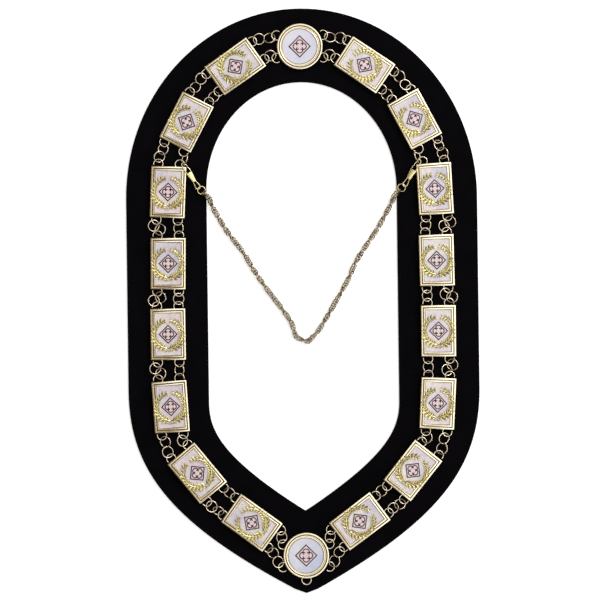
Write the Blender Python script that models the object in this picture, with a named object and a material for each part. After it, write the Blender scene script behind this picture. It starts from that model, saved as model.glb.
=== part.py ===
"""A ceremonial chain of office, laid flat as it is stored.

A black velvet collar with a round top and a pointed foot carries sixteen oblong plaques and two
round medallions of gilt metal and pale enamel. Two strands of wire rings join them. A fine safety
chain crosses the neck opening and clips on to the inner strand with a snap hook at each end.
The frame's origin is on the table under the middle of the collar, with the foot towards -Y.
"""

from math import cos, pi, radians, sin, sqrt, tau

import bmesh
import bpy
import numpy as np
from mathutils import Matrix, Vector

UP = Vector((0, 0, 1))

# Gaps left between pieces that lie on or hold each other
SEAT_GAP = 0.0003
LINK_GAP = 0.0002

# Velvet collar: both edges are an arc, a straight side and a curve down to a point
VELVET_THICKNESS = 0.0025
COLLAR_HALF_WIDTH = 0.1934
COLLAR_TOP = 0.3220
COLLAR_SHOULDER = 0.1131
COLLAR_HIP = -0.0981
COLLAR_HIP_PULL = 0.0918
COLLAR_TIP = -0.3241
COLLAR_TIP_PULL = 0.1598
COLLAR_TIP_SLOPE = 27.9
COLLAR_TIP_ROUND = 0.016
NECK_HALF_WIDTH = 0.1047
NECK_TOP = 0.2407
NECK_SHOULDER = 0.1224
NECK_HIP = -0.1091
NECK_HIP_PULL = 0.0292
NECK_TIP = -0.2312
NECK_TIP_PULL = 0.1169
NECK_TIP_SLOPE = 32.9
NECK_TIP_ROUND = 0.0008

# Plaques: a cast plate with a double raised rim round an enamelled field
PLAQUE_WIDTH = 0.0380
PLAQUE_LENGTH = 0.0560
PLATE_THICKNESS = 0.0045
RIM_WIDTH = 0.0018
GROOVE_WIDTH = 0.0006
GROOVE_DEPTH = 0.0008
PLAQUE_INNER_RIM = 0.0015
RELIEF_SLOPE = 0.00025
FIELD_DEPTH = 0.0009

# Wreath raised on the field
WREATH_RADIUS = 0.0154
WREATH_HALF_WIDTH = 0.0027
WREATH_RISE = 0.0005
WREATH_OPENING = 50
CAST_OVERLAP = 0.0005

# Medallions
MEDALLION_RADIUS = 0.0249
MEDALLION_INNER_RIM = 0.0024

# Cast hooks, each an open loop with one end joined to the plate
HOOK_RADIUS = 0.0051
HOOK_WIRE = 0.00125
STRAND_OFFSET = 0.0118
HOOK_STANDOFF = 0.0027
HOOK_HEIGHT = 0.0038
PLAQUE_HOOK_ARC = (-142, 100)
MEDALLION_STRAND_OFFSET = 0.0124
MEDALLION_HOOK_STANDOFF = 0.0035
MEDALLION_HOOK_ARC = (-137, 125)
JEWEL_LOOP_STANDOFF = 0.0018
JEWEL_LOOP_ARC = (-140, 122)

# Rings of the two strands
RING_RADIUS = 0.0061
RING_WIRE = 0.0011
RING_TILTS = range(18, 56, 2)
PITCHES = range(40)
SLACK_REACH = 0.0074
PAIR_REACH = 0.0072
PAIR_SPAN = 0.0083
TAUT_LENGTH = 0.0260
TAUT_SHARE = 0.6
TAUT_SLACK = 0.0001
TOUCH_SHARE = 0.65
CLASP_RING_TILT = 60
CLASP_RING_LIFT = 0.0025
CLASP_RING_SHIFT = 0.0036

# Snap hooks: a folded sheet body, a wire nose, a spring gate, a tail eye and its end ring
CLASP_WIRE = 0.0011
CLASP_NOSE = (0.1301, 0.1536, 0.0102)
CLASP_TURN = 31
CLASP_SLOPE = 7.5
BODY_TOP = 0.0135
BODY_LENGTH = 0.0113
BODY_TOP_WIDTH = 0.0070
BODY_FOOT_WIDTH = 0.0042
BODY_THICKNESS = 0.0016
MOUTH_HALF_WIDTH = 0.0026
GATE_WIRE = 0.0009
GATE_STEP = 0.0008
EYE_LENGTH = 0.0100
EYE_HALF_WIDTH = 0.0031
END_RING_RADIUS = 0.0042
END_RING_TURN = 24

# Safety chain: it crosses the velvet's edge a little inside the neck opening. Then its line runs
# through these points, from left to right: x as a share of the neck's half width, and y.
CHAIN_RADIUS = 0.0027
CHAIN_EDGE_INSET = 0.0038
CHAIN_EDGE_Y = 0.1128
CHAIN_ROUTE = (
    (-0.941, 0.1055),
    (-0.797, 0.0790),
    (-0.620, 0.0541),
    (-0.511, 0.0345),
    (-0.376, 0.0135),
    (-0.219, -0.0087),
    (-0.120, -0.0245),
    (-0.078, -0.0385),
    (-0.011, -0.0428),
    (0.049, -0.0446),
    (0.110, -0.0388),
    (0.189, -0.0287),
    (0.315, -0.0069),
    (0.479, 0.0228),
    (0.569, 0.0433),
    (0.734, 0.0691),
    (0.798, 0.0790),
    (0.941, 0.1055),
)

# Where the right half's plaques lie on the collar: x, y, and the way that the chain runs there, in
# degrees clockwise from +X. The left half is its mirror image.
PLAQUE_ROUTE = (
    (0.0710, 0.2583, 34.6),
    (0.1252, 0.1980, 62.3),
    (0.1466, 0.1213, 87.2),
    (0.1475, 0.0427, 89.1),
    (0.1485, -0.0349, 90.2),
    (0.1467, -0.1145, 93.3),
    (0.1184, -0.1879, 129.0),
    (0.0593, -0.2430, 143.6),
)
TOP_MEDALLION_Y = 0.2794
BOTTOM_MEDALLION_Y = -0.2798
CLASP_GAP = 3

# How finely round shapes are divided
LINE_POINTS = 150
RING_STEPS = 10
WIRE_SIDES = 5
HOOK_STEPS = 5
WREATH_STEPS = 10
MEDALLION_SIDES = 20
ARC_STEPS = 11
CURVE_STEPS = 9
CHAIN_STEP = 0.0095

plate_height = VELVET_THICKNESS + SEAT_GAP
link_height = plate_height + HOOK_HEIGHT


def clear_scene():
    for old in list(bpy.data.objects):
        bpy.data.objects.remove(old, do_unlink=True)


def make_material(name, colour, roughness, metallic):
    material = bpy.data.materials.new(name)
    material.use_nodes = True
    shader = material.node_tree.nodes["Principled BSDF"]
    shader.inputs["Base Color"].default_value = (*colour, 1)
    shader.inputs["Roughness"].default_value = roughness
    shader.inputs["Metallic"].default_value = metallic
    return material


def mesh_from(bm, name):
    """Turns the faces outward and gives the shape as a mesh, smooth but for its sharp edges."""
    bmesh.ops.recalc_face_normals(bm, faces=bm.faces)
    mesh = bpy.data.meshes.new(name)
    bm.to_mesh(mesh)
    bm.free()
    mesh.shade_smooth()
    mesh.set_sharp_from_angle(angle=radians(40))
    return mesh


def place(name, data, material, frame=None):
    """Adds an object of its own to the scene, in the given frame."""
    obj = bpy.data.objects.new(name, data)
    if not data.materials:
        data.materials.append(material)
    obj.matrix_world = frame or Matrix.Identity(4)
    bpy.context.scene.collection.objects.link(obj)
    return obj


def fused(name, base, *added):
    """One mesh of a base and the shapes that are cast or soldered to it."""
    body = bpy.data.objects.new(name, base)
    bpy.context.scene.collection.objects.link(body)
    tools = []
    for mesh in added:
        tool = bpy.data.objects.new(mesh.name, mesh)
        bpy.context.scene.collection.objects.link(tool)
        union = body.modifiers.new(mesh.name, "BOOLEAN")
        union.operation = "UNION"
        union.solver = "EXACT"
        union.object = tool
        tools.append(tool)
    graph = bpy.context.evaluated_depsgraph_get()
    result = bpy.data.meshes.new_from_object(body.evaluated_get(graph))
    result.name = name
    result.materials.clear()
    for used in (body, *tools):
        bpy.data.objects.remove(used, do_unlink=True)
    return result


def round_section(radius, sides=WIRE_SIDES):
    return [(radius * cos(tau * i / sides), radius * sin(tau * i / sides)) for i in range(sides)]


def sweep(bm, path, normal, section, closed=False):
    """Runs a section of (across, up) points along a flat path, mitred at each corner."""
    rows = []
    last = len(path) - 1
    for i, point in enumerate(path):
        before = path[i - 1] if closed or i > 0 else None
        after = path[(i + 1) % len(path)] if closed or i < last else None
        arriving = (point - before).normalized() if before else (after - point).normalized()
        leaving = (after - point).normalized() if after else arriving
        along = (arriving + leaving).normalized()
        across = along.cross(normal) / along.dot(leaving)
        rows.append([bm.verts.new(point + across * a + normal * b) for a, b in section])
    following = rows[1:] + rows[:1] if closed else rows[1:]
    for row, other in zip(rows, following):
        for j in range(len(section)):
            k = (j + 1) % len(section)
            bm.faces.new((row[j], row[k], other[k], other[j]))
    if not closed:
        bm.faces.new(rows[0])
        bm.faces.new(rows[-1])


def arc(centre, axis, side, radius, start, end, steps, closed=False):
    """Points round a centre, from the axis (0 degrees) towards the side (90 degrees)."""
    count = steps if closed else steps + 1
    turns = [radians(start + (end - start) * i / steps) for i in range(count)]
    return [centre + axis * (radius * cos(turn)) + side * (radius * sin(turn)) for turn in turns]


def wire_ring(bm, centre, axis, side, radius, wire):
    path = arc(centre, axis, side, radius, 0, 360, RING_STEPS, closed=True)
    sweep(bm, path, axis.cross(side), round_section(wire / 2), closed=True)


def edge_half(half_width, top, shoulder, hip, hip_pull, tip, tip_pull, tip_slope, tip_round):
    """The right half of one edge of the collar, from its top down to its tip."""
    points = []
    for i in range(ARC_STEPS + 1):
        turn = pi / 2 * (1 - i / ARC_STEPS)
        points.append((half_width * cos(turn), shoulder + (top - shoulder) * sin(turn)))
    slope = radians(tip_slope)
    corners = np.array(
        [
            (half_width, hip),
            (half_width, hip - hip_pull),
            (tip_pull * cos(slope), tip + tip_pull * sin(slope)),
            (0, tip),
        ]
    )
    for t in np.linspace(0, 1, CURVE_STEPS + 1):
        weights = ((1 - t) ** 3, 3 * t * (1 - t) ** 2, 3 * t * t * (1 - t), t**3)
        x, y = weights @ corners
        if x > 1.2 * tip_round * sin(slope):
            points.append((float(x), float(y)))
    for share in (1, 0.5, 0):
        turn = slope * share
        height = tip + tip_round / cos(slope) - tip_round * cos(turn)
        points.append((tip_round * sin(turn), height))
    return points


def whole_edge(half):
    """Both halves of an edge as one closed line of points, in the collar's lower face."""
    mirrored = [(-x, y) for x, y in half[-2:0:-1]]
    return [Vector((x, y, 0)) for x, y in half + mirrored]


def velvet_mesh():
    outer = edge_half(
        COLLAR_HALF_WIDTH,
        COLLAR_TOP,
        COLLAR_SHOULDER,
        COLLAR_HIP,
        COLLAR_HIP_PULL,
        COLLAR_TIP,
        COLLAR_TIP_PULL,
        COLLAR_TIP_SLOPE,
        COLLAR_TIP_ROUND,
    )
    neck = edge_half(
        NECK_HALF_WIDTH,
        NECK_TOP,
        NECK_SHOULDER,
        NECK_HIP,
        NECK_HIP_PULL,
        NECK_TIP,
        NECK_TIP_PULL,
        NECK_TIP_SLOPE,
        NECK_TIP_ROUND,
    )
    bm = bmesh.new()
    edges = []
    for line in (whole_edge(outer), whole_edge(neck)):
        corners = [bm.verts.new(point) for point in line]
        for i, corner in enumerate(corners):
            edges.append(bm.edges.new((corner, corners[(i + 1) % len(corners)])))
    bmesh.ops.triangle_fill(bm, use_beauty=True, edges=edges)
    raised = bmesh.ops.extrude_face_region(bm, geom=bm.faces[:])["geom"]
    upper = [item for item in raised if isinstance(item, bmesh.types.BMVert)]
    bmesh.ops.translate(bm, verts=upper, vec=UP * VELVET_THICKNESS)
    return mesh_from(bm, "velvet_backing")


def wreath_mesh():
    """The wreath's outer form: a low ridge in a ring, open at one end."""
    low = PLATE_THICKNESS - FIELD_DEPTH - CAST_OVERLAP
    high = PLATE_THICKNESS + WREATH_RISE
    wide, narrow = WREATH_HALF_WIDTH, WREATH_HALF_WIDTH * 0.6
    opening = WREATH_OPENING / 2
    bm = bmesh.new()
    path = arc(
        Vector(), Vector((0, -1, 0)), Vector((1, 0, 0)), WREATH_RADIUS, opening, 360 - opening, WREATH_STEPS
    )
    sweep(bm, path, UP, [(-wide, low), (wide, low), (narrow, high), (-narrow, high)])
    return mesh_from(bm, "wreath")


def add_hook(bm, centre, outward, free_side, hook_arc):
    """An open loop of wire: its first end runs into the plate, its last end stops short of it."""
    path = arc(centre, outward, free_side, HOOK_RADIUS, *hook_arc, HOOK_STEPS)
    sweep(bm, path, outward.cross(free_side), round_section(HOOK_WIRE / 2))


def four_hooks(bm, offset, reach, hook_arc):
    """A hook at each end of each strand. The free ends face away from the plate's middle."""
    for end in (-1, 1):
        for side in (-1, 1):
            centre = Vector((side * offset, end * reach, HOOK_HEIGHT))
            add_hook(bm, centre, Vector((0, end, 0)), Vector((side, 0, 0)), hook_arc)


def plate_mesh(outline, inner_rim):
    """A flat plate of this outline, its back in the plane z = 0, with the rims on its face."""
    bm = bmesh.new()
    face = bm.faces.new([bm.verts.new(point) for point in outline])
    face.normal_update()
    if face.normal.z < 0:
        face.normal_flip()
    raised = bmesh.ops.extrude_face_region(bm, geom=[face], use_keep_orig=True)["geom"]
    upper = [item for item in raised if isinstance(item, bmesh.types.BMVert)]
    bmesh.ops.translate(bm, verts=upper, vec=UP * PLATE_THICKNESS)
    bm.normal_update()
    field = max(bm.faces, key=lambda one: one.calc_center_median().z)
    steps = (
        (RIM_WIDTH, 0),
        (RELIEF_SLOPE, -GROOVE_DEPTH),
        (GROOVE_WIDTH, 0),
        (RELIEF_SLOPE, GROOVE_DEPTH),
        (inner_rim, 0),
        (RELIEF_SLOPE, -FIELD_DEPTH),
    )
    for inset, rise in steps:
        bmesh.ops.inset_individual(
            bm, faces=[field], thickness=inset, depth=rise, use_even_offset=True
        )
    return mesh_from(bm, "plate")


def plaque_mesh():
    """One cast plaque, its length along Y and its back in the plane z = 0."""
    x, y = PLAQUE_WIDTH / 2, PLAQUE_LENGTH / 2
    corners = [Vector(spot) for spot in ((-x, -y, 0), (x, -y, 0), (x, y, 0), (-x, y, 0))]
    plate = plate_mesh(corners, PLAQUE_INNER_RIM)
    bm = bmesh.new()
    four_hooks(bm, STRAND_OFFSET, PLAQUE_LENGTH / 2 + HOOK_STANDOFF, PLAQUE_HOOK_ARC)
    hooks = mesh_from(bm, "hooks")
    return fused("plaque", plate, wreath_mesh(), hooks)


def medallion_reach():
    """How far along the chain a medallion's hooks lie from its centre."""
    out = MEDALLION_RADIUS + MEDALLION_HOOK_STANDOFF
    return sqrt(out**2 - MEDALLION_STRAND_OFFSET**2)


def medallion_mesh(name, with_loop):
    """One medallion. The lower one also has the loop from which the jewel hangs."""
    ahead, aside = Vector((1, 0, 0)), Vector((0, 1, 0))
    outline = arc(Vector(), ahead, aside, MEDALLION_RADIUS, 0, 360, MEDALLION_SIDES, closed=True)
    plate = plate_mesh(outline, MEDALLION_INNER_RIM)
    bm = bmesh.new()
    four_hooks(bm, MEDALLION_STRAND_OFFSET, medallion_reach(), MEDALLION_HOOK_ARC)
    if with_loop:
        centre = Vector((-MEDALLION_RADIUS - JEWEL_LOOP_STANDOFF, 0, HOOK_HEIGHT))
        add_hook(bm, centre, Vector((-1, 0, 0)), Vector((0, -1, 0)), JEWEL_LOOP_ARC)
    hooks = mesh_from(bm, "hooks")
    return fused(name, plate, hooks)


def chain_pieces():
    """The chain's pieces in order, clockwise from the top medallion, as (name, x, y, heading)."""
    right = [(x, y, -heading) for x, y, heading in PLAQUE_ROUTE]
    left = [(-x, y, heading) for x, y, heading in reversed(PLAQUE_ROUTE)]
    pieces = [("medallion_top", 0, TOP_MEDALLION_Y, 0)]
    pieces += [(f"plaque_right_{i + 1}", *spot) for i, spot in enumerate(right)]
    pieces += [("medallion_bottom", 0, BOTTOM_MEDALLION_Y, 180)]
    pieces += [(f"plaque_left_{len(left) - i}", *spot) for i, spot in enumerate(left)]
    return pieces


def piece_frame(piece):
    """A piece's Y axis runs along the chain and its X axis points to the neck."""
    _, x, y, heading = piece
    turn = Matrix.Rotation(radians(heading - 90), 4, "Z")
    return Matrix.Translation((x, y, plate_height)) @ turn


def hook_spot(piece, end, side):
    """The middle of a piece's hook: end 1 is ahead along the chain, side 1 is the outer strand."""
    if piece[0].startswith("medallion"):
        offset, reach = MEDALLION_STRAND_OFFSET, medallion_reach()
    else:
        offset, reach = STRAND_OFFSET, PLAQUE_LENGTH / 2 + HOOK_STANDOFF
    return piece_frame(piece) @ Vector((-side * offset, end * reach, HOOK_HEIGHT))


def hook_line(piece, end, side):
    """Points along the middle of a hook's wire."""
    medallion = piece[0].startswith("medallion")
    first, last = MEDALLION_HOOK_ARC if medallion else PLAQUE_HOOK_ARC
    turn = piece_frame(piece).to_3x3()
    outward, free_side = turn @ Vector((0, end, 0)), turn @ Vector((-side, 0, 0))
    centre = hook_spot(piece, end, side)
    corners = arc(centre, outward, free_side, HOOK_RADIUS, first, last, HOOK_STEPS)
    return fine_line(corners)


def fine_line(corners):
    """Many points along straight lines between corners."""
    rows = np.array(corners)
    places = np.linspace(0, len(rows) - 1, LINE_POINTS)
    return np.array([np.interp(places, range(len(rows)), column) for column in rows.T]).T


def ring_line(ring):
    corners = arc(*ring, RING_RADIUS, 0, 360, RING_STEPS, closed=True)
    return fine_line([*corners, corners[0]])


def apart(first, second):
    return np.linalg.norm(first[:, None] - second[None], axis=2).min()


def tilted(axis, tilt, pitch=0):
    """A ring's two axes: along the strand, pitched up, and across it, tilted up."""
    across = UP.cross(axis).normalized()
    rising = axis * cos(radians(pitch)) + UP * sin(radians(pitch))
    lifted = UP * cos(radians(pitch)) - axis * sin(radians(pitch))
    return rising, across * cos(radians(tilt)) + lifted * sin(radians(tilt))


def flattest(ring_at, *hooks):
    """The ring with the least tilt that clears the wires of its hooks."""
    clear = (RING_WIRE + HOOK_WIRE) / 2 + LINK_GAP
    most, best = 0, ring_at(RING_TILTS[-1])
    for tilt in RING_TILTS:
        ring = ring_at(tilt)
        room = min(apart(ring_line(ring), hook) for hook in hooks) if ring else 0
        if room > clear:
            return ring
        if room > most:
            most, best = room, ring
    return best


def single_ring(start, end, sign, hooks):
    """The ring between two hooks. The slack of a short gap pushes it outward, that side up."""
    axis = (end - start).normalized()
    half = (end - start).length / 2
    slack = sqrt(max(0, SLACK_REACH**2 - half**2))
    sign = 1 if slack else sign

    def ring_at(tilt):
        rise = RING_RADIUS * sin(radians(tilt)) * slack / SLACK_REACH
        centre = (start + end) / 2 + UP.cross(axis) * slack + UP * rise
        return (centre, *tilted(axis, sign * tilt))

    return flattest(ring_at, *hooks)


def clasp_ring(start, end):
    """The ring that a snap hook holds stands steeply and is drawn towards the neck."""
    axis = (end - start).normalized()
    shift = UP.cross(axis) * -CLASP_RING_SHIFT + UP * CLASP_RING_LIFT
    return ((start + end) / 2 + shift, *tilted(axis, -CLASP_RING_TILT))


def ring_pair(start, end, sign, hooks):
    """Two linked rings between two hooks. Slack folds them sideways, and the first rests on the
    second: it is pitched up from its hook until their wires touch."""
    along = end - start
    axis = along.normalized()
    across = UP.cross(axis) * sign
    taut = along.length > TAUT_LENGTH
    stretch = max(1, along.length / (2 * PAIR_REACH + PAIR_SPAN))
    span = 2 * RING_RADIUS - TAUT_SHARE * RING_WIRE if taut else PAIR_SPAN * stretch
    reach = max(PAIR_REACH, (along.length - span) / 2 + TAUT_SLACK)
    low, high = 0, span / 2
    for _ in range(30):
        fold = (low + high) / 2
        length = 2 * sqrt(reach**2 - fold**2) + sqrt(span**2 - 4 * fold**2)
        low, high = (fold, high) if length > along.length else (low, fold)
    first = start + axis * sqrt(reach**2 - fold**2) + across * fold
    second = end - axis * sqrt(reach**2 - fold**2) - across * fold

    def second_at(tilt):
        return (second, *tilted((end - second).normalized(), -sign * tilt))

    second_ring = flattest(second_at, hooks[1])
    second_line = ring_line(second_ring)
    first_axis = (first - start).normalized()
    pivot = first - first_axis * RING_RADIUS

    def first_at(tilt):
        for pitch in PITCHES:
            rising, side = tilted(first_axis, sign * tilt, pitch)
            ring = (pivot + rising * RING_RADIUS, rising, side)
            if apart(ring_line(ring), second_line) < TOUCH_SHARE * RING_WIRE:
                return ring
        return None

    return flattest(first_at, hooks[0]), second_ring


def ring_mesh(name, ring):
    bm = bmesh.new()
    wire_ring(bm, *ring, RING_RADIUS, RING_WIRE)
    return mesh_from(bm, name)


def add_strands(pieces, material):
    """One ring in each gap of the inner strand and two linked rings in each of the outer."""
    for i, piece in enumerate(pieces):
        following = pieces[(i + 1) % len(pieces)]
        half = len(pieces) // 2
        side, number = ("right", i + 1) if i < half else ("left", len(pieces) - i)
        sign = 1 if i % 2 else -1
        start, end = hook_spot(piece, 1, -1), hook_spot(following, -1, -1)
        hooks = hook_line(piece, 1, -1), hook_line(following, -1, -1)
        if number == CLASP_GAP:
            ring = clasp_ring(start, end)
        else:
            ring = single_ring(start, end, sign, hooks)
        name = f"ring_inner_{side}_{number}"
        place(name, ring_mesh(name, ring), material)
        hooks = hook_line(piece, 1, 1), hook_line(following, -1, 1)
        pair = ring_pair(hook_spot(piece, 1, 1), hook_spot(following, -1, 1), sign, hooks)
        name = f"rings_outer_{side}_{number}"
        first, second = (ring_mesh(f"{name}_{j}", one) for j, one in enumerate(pair))
        place(name, fused(name, first, second), material)


def clasp_frame(hand):
    """A snap hook's frame: Y to the nose, X to the gate (hand 1 is the right-hand hook)."""
    x, y, z = CLASP_NOSE
    turn = Matrix.Rotation(radians(-hand * CLASP_TURN), 4, "Z")
    slope = Matrix.Rotation(radians(CLASP_SLOPE), 4, "X")
    return Matrix.Translation((hand * x, y, z)) @ turn @ slope


def gate_root():
    """The gate's hinge, in the snap hook's frame but for the hand's mirroring."""
    return Vector((MOUTH_HALF_WIDTH, -BODY_TOP + SEAT_GAP, 0))


def flat_points(rows, hand):
    return [Vector((-hand * x, y, 0)) for x, y in rows]


def end_ring(hand):
    """Centre and axes of the end ring, in the snap hook's frame. It bears on the tail eye."""
    eye_foot = -BODY_TOP - BODY_LENGTH - EYE_LENGTH + CLASP_WIRE
    turn = radians(END_RING_TURN)
    axis = Vector((-hand * sin(turn), -cos(turn), 0))
    centre = Vector((0, eye_foot, 0)) + axis * (END_RING_RADIUS - TOUCH_SHARE * CLASP_WIRE)
    return (centre, *tilted(axis, 0, CLASP_SLOPE))


def clasp_mesh(hand):
    """Body, nose wire, tail eye and end ring as one solid, with its nose at the origin."""
    bm = bmesh.new()
    foot = -BODY_TOP - BODY_LENGTH
    rows = (
        (-BODY_TOP_WIDTH / 2, -BODY_TOP),
        (BODY_TOP_WIDTH / 2, -BODY_TOP),
        (BODY_FOOT_WIDTH / 2, foot),
        (-BODY_FOOT_WIDTH / 2, foot),
    )
    face = bm.faces.new([bm.verts.new(point) for point in flat_points(rows, hand)])
    raised = bmesh.ops.extrude_face_region(bm, geom=[face])["geom"]
    upper = [item for item in raised if isinstance(item, bmesh.types.BMVert)]
    bmesh.ops.translate(bm, verts=upper, vec=UP * BODY_THICKNESS)
    bmesh.ops.translate(bm, verts=bm.verts, vec=UP * (-BODY_THICKNESS / 2))
    body = mesh_from(bm, "body")

    wire = round_section(CLASP_WIRE / 2)
    half, radius = MOUTH_HALF_WIDTH, CLASP_WIRE / 2
    bm = bmesh.new()
    nose = (
        (-half, -BODY_TOP - CLASP_WIRE),
        (-half, -BODY_TOP + CLASP_WIRE),
        (-half, -half - radius),
        (-half * 0.75, -half * 0.5),
        (0, -radius),
        (half * 0.6, -half * 0.4),
        (half * 0.75, -half * 0.85),
    )
    sweep(bm, flat_points(nose, hand), UP, wire)
    nose_wire = mesh_from(bm, "nose")

    bm = bmesh.new()
    inner = BODY_FOOT_WIDTH / 2 - radius
    wide = EYE_HALF_WIDTH - radius
    eye_foot = foot - EYE_LENGTH + radius
    eye = (
        (-inner, foot + CLASP_WIRE),
        (-inner, foot - radius),
        (-wide, eye_foot + wide),
        (-wide * 0.6, eye_foot + wide * 0.2),
        (0, eye_foot),
        (wide * 0.6, eye_foot + wide * 0.2),
        (wide, eye_foot + wide),
        (inner, foot - radius),
        (inner, foot + CLASP_WIRE),
    )
    sweep(bm, flat_points(eye, hand), UP, wire)
    tail_eye = mesh_from(bm, "eye")

    bm = bmesh.new()
    wire_ring(bm, *end_ring(hand), END_RING_RADIUS, CLASP_WIRE)
    ring = mesh_from(bm, "ring")
    return fused("clasp", body, nose_wire, tail_eye, ring)


def gate_mesh(hand):
    """The spring gate, from its root at the origin to its tip under the nose."""
    root = gate_root()
    tip_x = MOUTH_HALF_WIDTH * 0.55
    tip_y = -MOUTH_HALF_WIDTH * 0.85 - CLASP_WIRE / 2 - GATE_WIRE / 2 - SEAT_GAP
    step_y = (root.y + tip_y) / 2
    rows = (
        (root.x, root.y + GATE_WIRE / 2),
        (root.x, step_y - GATE_STEP),
        (root.x - GATE_STEP, step_y),
        (root.x - GATE_STEP * 0.4, step_y + GATE_STEP),
        (tip_x, tip_y),
    )
    bm = bmesh.new()
    path = [point - Vector((-hand * root.x, root.y, 0)) for point in flat_points(rows, hand)]
    sweep(bm, path, UP, round_section(GATE_WIRE / 2))
    return mesh_from(bm, "gate")


def add_clasps(material, gate_material):
    """The two snap hooks. Each gate hangs on an empty at its root, the axis it swings about."""
    for side, hand in (("left", -1), ("right", 1)):
        frame = clasp_frame(hand)
        place(f"snap_hook_{side}", clasp_mesh(hand), material, frame)
        root = gate_root()
        hinge = bpy.data.objects.new(f"gate_hinge_{side}", None)
        hinge.matrix_world = frame @ Matrix.Translation((-hand * root.x, root.y, 0))
        bpy.context.scene.collection.objects.link(hinge)
        gate = place(f"gate_{side}", gate_mesh(hand), gate_material)
        gate.parent = hinge


def smooth_line(points, step):
    """Points read at an even step from a Catmull-Rom curve through the given ones."""
    points = np.array(points)
    padded = np.vstack([2 * points[0] - points[1], points, 2 * points[-1] - points[-2]])
    fine = []
    for p0, p1, p2, p3 in zip(padded, padded[1:], padded[2:], padded[3:]):
        for t in np.linspace(0, 1, 20, endpoint=False):
            fine.append(
                0.5
                * (
                    2 * p1
                    + (p2 - p0) * t
                    + (2 * p0 - 5 * p1 + 4 * p2 - p3) * t**2
                    + (3 * p1 - p0 - 3 * p2 + p3) * t**3
                )
            )
    fine.append(points[-1])
    fine = np.array(fine)
    run = np.concatenate([[0], np.cumsum(np.linalg.norm(np.diff(fine, axis=0), axis=1))])
    places = np.linspace(0, run[-1], max(2, round(run[-1] / step) + 1))
    return np.array([np.interp(places, run, column) for column in fine.T]).T


def chain_start(hand):
    """Where the chain leaves an end ring, a small gap clear of its wire, and where it crosses the
    velvet's edge."""
    edge_height = VELVET_THICKNESS + SEAT_GAP + CHAIN_RADIUS
    over = Vector((hand * (NECK_HALF_WIDTH - CHAIN_EDGE_INSET), CHAIN_EDGE_Y, edge_height))
    centre = clasp_frame(hand) @ end_ring(hand)[0]
    out = END_RING_RADIUS + CLASP_WIRE / 2 + SEAT_GAP
    return [tuple(centre + (over - centre).normalized() * out), tuple(over)]


def add_safety_chain(material):
    """The safety chain as a plain round line. It drops from the collar on to the table."""
    laid = [(share * NECK_HALF_WIDTH, y, CHAIN_RADIUS) for share, y in CHAIN_ROUTE]
    points = smooth_line([*chain_start(-1), *laid, *reversed(chain_start(1))], CHAIN_STEP)
    curve = bpy.data.curves.new("safety_chain", "CURVE")
    curve.dimensions = "3D"
    curve.bevel_depth = CHAIN_RADIUS
    curve.bevel_resolution = 2
    curve.use_fill_caps = True
    line = curve.splines.new("POLY")
    line.points.add(len(points) - 1)
    for spot, point in zip(line.points, points):
        spot.co = (*point, 1)
    place("safety_chain", curve, material)


def build():
    clear_scene()
    velvet = make_material("velvet", (0.006, 0.005, 0.008), 0.95, 0)
    gilt = make_material("gilt_plate", (0.78, 0.60, 0.27), 0.28, 1)
    ring_gilt = make_material("ring_gilt", (0.80, 0.62, 0.36), 0.25, 1)
    hook_gilt = make_material("snap_hook_gilt", (0.80, 0.64, 0.32), 0.25, 1)
    spring_gilt = make_material("spring_gilt", (0.82, 0.68, 0.40), 0.25, 1)
    chain_gilt = make_material("chain_gilt", (0.36, 0.28, 0.15), 0.45, 1)

    place("velvet_backing", velvet_mesh(), velvet)
    plaque = plaque_mesh()
    pieces = chain_pieces()
    for piece in pieces:
        name = piece[0]
        frame = piece_frame(piece)
        if name.startswith("medallion"):
            place(name, medallion_mesh(name, name == "medallion_bottom"), gilt, frame)
        else:
            # Every wreath opens towards the top of the collar
            turned = 0 if "right" in name else pi
            place(name, plaque, gilt, frame @ Matrix.Rotation(turned, 4, "Z"))
    add_strands(pieces, ring_gilt)
    add_clasps(hook_gilt, spring_gilt)
    add_safety_chain(chain_gilt)


build()
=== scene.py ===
"""Looks for a ceremonial chain of office that lies flat on a white table.

Lengths are in metres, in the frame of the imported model: +Y runs from the collar's pointed foot to
its round top, and the collar rests on z = 0.
"""

from math import cos, pi, radians, sin, tau

import bmesh
import bpy
import numpy as np
from mathutils import Matrix, Vector, noise


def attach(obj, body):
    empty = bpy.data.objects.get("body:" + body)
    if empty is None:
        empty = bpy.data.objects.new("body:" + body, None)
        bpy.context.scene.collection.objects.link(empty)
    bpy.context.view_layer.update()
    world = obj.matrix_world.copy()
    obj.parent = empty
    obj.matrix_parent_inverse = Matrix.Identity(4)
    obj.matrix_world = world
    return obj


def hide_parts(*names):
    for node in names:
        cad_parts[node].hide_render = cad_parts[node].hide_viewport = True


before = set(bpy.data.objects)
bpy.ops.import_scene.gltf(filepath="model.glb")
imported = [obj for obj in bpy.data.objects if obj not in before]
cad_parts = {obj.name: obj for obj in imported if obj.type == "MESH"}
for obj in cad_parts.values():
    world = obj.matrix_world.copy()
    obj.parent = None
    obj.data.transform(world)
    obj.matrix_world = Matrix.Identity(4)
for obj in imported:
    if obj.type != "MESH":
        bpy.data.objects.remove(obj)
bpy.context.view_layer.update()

# The table, the studio and the camera. The collar lies on a matt white table top that is lit until
# it is plain white, as in a catalogue picture. The ceiling is white, and brighter to the right. The
# camera looks straight down and is turned by less than a degree, as the photograph is.


def linear(code):
    """An sRGB hex colour as Blender's linear one."""
    parts = [int(code[i : i + 2], 16) / 255 for i in (1, 3, 5)]
    parts = [c / 12.92 if c <= 0.04045 else ((c + 0.055) / 1.055) ** 2.4 for c in parts]
    return (*parts, 1)


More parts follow.
